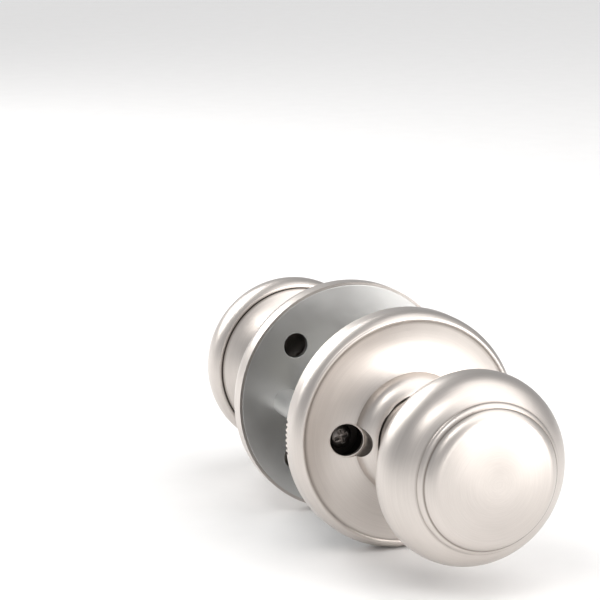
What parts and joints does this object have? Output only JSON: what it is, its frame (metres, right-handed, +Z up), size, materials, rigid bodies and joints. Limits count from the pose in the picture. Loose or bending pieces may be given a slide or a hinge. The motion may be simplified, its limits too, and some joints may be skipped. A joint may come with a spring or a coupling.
{
  "type": "passage door knob set",
  "caption": "Round satin nickel passage knob set: stepped round knobs on dished round roses, back to back through a door, with screw holes in the inside rose.",
  "frame": {"origin": "on the knob axis, halfway through the thinnest door the set clamps", "axes": "+Y along the knob axis towards the exterior knob, -Y towards the interior knob, +Z up"},
  "size_m": [0.0666, 0.1578, 0.0666],
  "materials": {
    "satin_nickel": "satin nickel, brushed around the axis",
    "die_cast_zinc": "as cast",
    "zinc_plated_steel": "bright zinc plate",
    "dark_steel": "dark phosphate",
    "spring_steel": "oiled",
    "nylon": "moulded"
  },
  "bodies": {
    "exterior_housing": {"exterior_rose": "satin_nickel", "exterior_chassis_plate": "zinc_plated_steel", "exterior_bushing": "nylon", "exterior_spring_cage": "zinc_plated_steel", "exterior_return_spring": "spring_steel", "exterior_thrust_washer": "nylon", "post_left": "zinc_plated_steel", "post_right": "zinc_plated_steel"},
    "exterior_knob": {"exterior_knob_shell": "satin_nickel", "exterior_knob_back": "satin_nickel", "exterior_knob_core": "die_cast_zinc", "exterior_shank": "zinc_plated_steel", "exterior_spring_driver": "zinc_plated_steel", "exterior_retaining_ring": "spring_steel", "spindle": "zinc_plated_steel", "spindle_pin": "spring_steel"},
    "interior_housing": {"interior_rose": "satin_nickel", "interior_chassis_plate": "dark_steel", "interior_bushing": "nylon", "interior_spring_cage": "zinc_plated_steel", "interior_return_spring": "spring_steel", "interior_thrust_washer": "nylon", "mounting_screw_left": "dark_steel", "mounting_screw_right": "dark_steel"},
    "interior_knob": {"interior_knob_shell": "satin_nickel", "interior_knob_back": "satin_nickel", "interior_knob_core": "die_cast_zinc", "interior_shank": "zinc_plated_steel", "interior_spring_driver": "zinc_plated_steel", "interior_retaining_ring": "spring_steel"}
  },
  "joints": [
    {"name": "exterior_knob_turn", "type": "hinge", "parent": "exterior_housing", "child": "exterior_knob", "pos_m": [0, 0.0175, 0], "axis": [0, 1, 0], "range_deg": [-50, 50], "stiffness_Nm_per_rad": 0.35, "deforming": ["exterior_return_spring"]},
    {"name": "door_thickness", "type": "slide", "parent": "exterior_housing", "child": "interior_housing", "axis": [0, -1, 0], "range_m": [0, 0.0095]},
    {"name": "interior_knob_turn", "type": "hinge", "parent": "interior_housing", "child": "interior_knob", "pos_m": [0, -0.0175, 0], "axis": [0, 1, 0], "range_deg": [-50.5, 50.5], "stiffness_Nm_per_rad": 0.35, "deforming": ["interior_return_spring"]}
  ],
  "couplings": [
    {"joint": "interior_knob_turn", "follows": "exterior_knob_turn", "ratio": 1}
  ]
}
